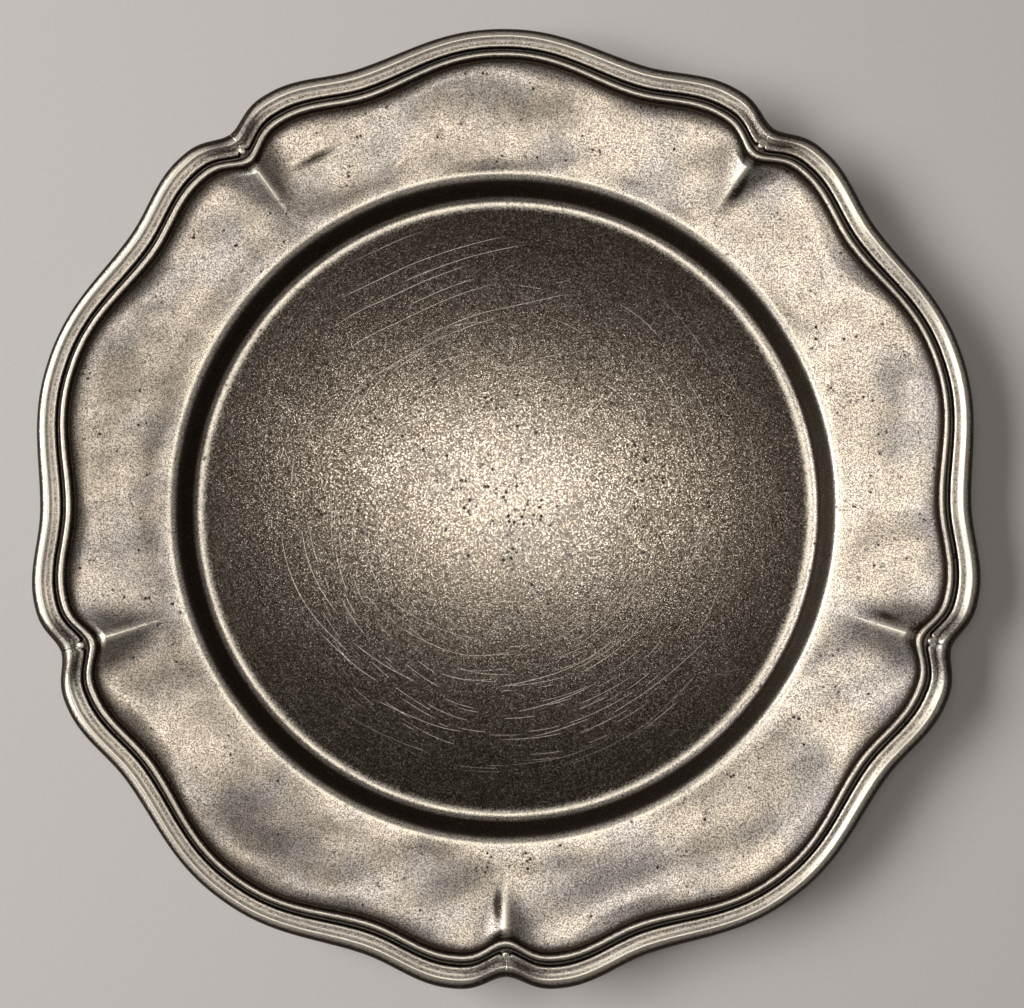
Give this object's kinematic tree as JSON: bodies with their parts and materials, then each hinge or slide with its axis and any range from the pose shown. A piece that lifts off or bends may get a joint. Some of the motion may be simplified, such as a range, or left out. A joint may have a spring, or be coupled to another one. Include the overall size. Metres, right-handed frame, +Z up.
{
  "type": "paten plate",
  "caption": "Round metal plate with a flat turned well, a steep wall, a sloping flange and a wavy, notched rim edged with reeded moulding.",
  "frame": {"origin": "centre of the flat underside that the plate stands on, on the axis of the well", "axes": "+Z up along the axis of the well, +Y towards the crown of one lobe of the rim"},
  "size_m": [0.2356, 0.239, 0.0164],
  "materials": {
    "cast_pewter": "worn pewter: a gritty cast flange with brown-black patina, and a turned well with fine concentric lines and loose scratches",
    "rubbed_pewter": "pewter rubbed bright on its crests, with dark patina in its grooves",
    "solder": "bright soft solder"
  },
  "bodies": {
    "root": {"plate_body": "cast_pewter", "rim_moulding_1": "rubbed_pewter", "rim_moulding_2": "rubbed_pewter", "rim_moulding_3": "rubbed_pewter", "rim_moulding_4": "rubbed_pewter", "rim_moulding_5": "rubbed_pewter", "inner_reed": "rubbed_pewter", "mitre_solder_1": "solder", "mitre_solder_2": "solder", "mitre_solder_3": "solder", "mitre_solder_4": "solder", "mitre_solder_5": "solder"}
  },
  "joints": []
}
